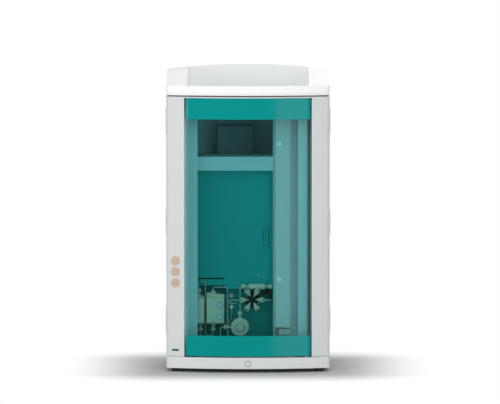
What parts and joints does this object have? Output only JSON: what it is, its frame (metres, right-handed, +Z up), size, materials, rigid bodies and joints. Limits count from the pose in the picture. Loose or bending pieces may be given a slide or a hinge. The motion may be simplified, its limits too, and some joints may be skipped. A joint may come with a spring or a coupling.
{
  "type": "ion chromatograph",
  "caption": "Bench-top ion chromatograph: white tower with a bowed teal-tinted hinged door, bottle tray on top, and pump, damper, filter and injection valve inside.",
  "frame": {"origin": "on the table under the centre of the bounding box", "axes": "+Z up, the bowed front and its door face -Y, +X is to the viewer's right"},
  "size_m": [0.365, 0.38, 0.664],
  "materials": {
    "white_moulding": "fine-grained white moulding",
    "base_grey": "plain pale grey moulding",
    "rubber": "matt black rubber",
    "teal_moulding": "satin teal moulding",
    "tinted_pane": "clear teal acrylic, opaque along its top and bottom bands",
    "duct_white": "satin white moulding",
    "duct_rail_beige": "matt beige extrusion",
    "dark_plastic": "matt dark grey moulding",
    "black_stator": "satin black",
    "status_lens": "smoked lens",
    "peek": "natural tan polymer, lightly machined",
    "steel": "brushed stainless steel",
    "knob_white": "glossy white",
    "rocker_black": "glossy black",
    "nozzle_white": "natural white polymer",
    "rear_paint": "fine texture powder coat, pale grey",
    "drive_metal": "bead-blasted aluminium",
    "board_green": "green solder mask"
  },
  "bodies": {
    "cabinet": {"base_tray": "white_moulding", "bottle_tray": "white_moulding", "roof_plate": "white_moulding", "left_front_column": "white_moulding", "right_front_column": "white_moulding", "left_side_panel": "white_moulding", "right_side_panel": "white_moulding", "left_side_covers": "white_moulding", "right_side_covers": "white_moulding", "inner_frame": "white_moulding", "drain_plug": "base_grey", "rubber_feet": "rubber", "wet_panel": "teal_moulding", "capillary_duct": "duct_white", "leak_sensor_plug": "duct_white", "duct_buttons": "duct_white", "duct_rail": "duct_rail_beige", "detector_bay": "dark_plastic", "detector_block": "dark_plastic", "filter_bracket": "dark_plastic", "magnet_catches": "dark_plastic", "fan_housing": "dark_plastic", "power_inlet": "dark_plastic", "switch_frame": "dark_plastic", "valve_actuator": "dark_plastic", "valve_stator": "black_stator", "status_window": "status_lens", "column_plugs": "peek", "pump_head_main": "peek", "pump_head_aux": "peek", "pump_valve_holders": "peek", "finger_nuts": "peek", "damper": "peek", "valve_nuts": "peek", "filter_body": "peek", "bulkhead_fittings": "peek", "link_capillary": "peek", "outlet_capillary": "peek", "damper_capillary": "peek", "loop_capillary": "peek", "short_capillaries": "peek", "hinge_pins": "steel", "pump_thumb_screws": "steel", "valve_screws": "steel", "panel_screw": "steel", "rear_panel_screws": "steel", "fan_guard": "steel", "rear_sockets": "steel", "drain_nozzle": "nozzle_white", "rear_panel": "rear_paint", "pump_drive_unit": "drive_metal", "power_supply": "drive_metal", "control_board": "board_green"},
    "door": {"door_pane": "tinted_pane", "door_rails": "teal_moulding", "magnet_strikers": "steel"},
    "purge_valve": {"purge_knob": "knob_white"},
    "cooling_fan": {"fan_rotor": "dark_plastic"},
    "power_switch": {"switch_rocker": "rocker_black"}
  },
  "joints": [
    {"name": "door_hinge", "type": "hinge", "parent": "cabinet", "child": "door", "pos_m": [0.1276, -0.16372, 0.3], "axis": [0, 0, 1], "range_deg": [0, 105]},
    {"name": "purge_knob_turn", "type": "hinge", "parent": "cabinet", "child": "purge_valve", "pos_m": [-0.0368, -0.11, 0.1404], "axis": [0, -1, 0], "range_deg": [0, 270]},
    {"name": "fan_spin", "type": "hinge", "parent": "cabinet", "child": "cooling_fan", "pos_m": [-0.092, 0.165, 0.5], "axis": [0, 1, 0], "continuous": true},
    {"name": "power_rocker", "type": "hinge", "parent": "cabinet", "child": "power_switch", "pos_m": [-0.078, 0.18, 0.078], "axis": [1, 0, 0], "range_deg": [-20, 0]}
  ]
}
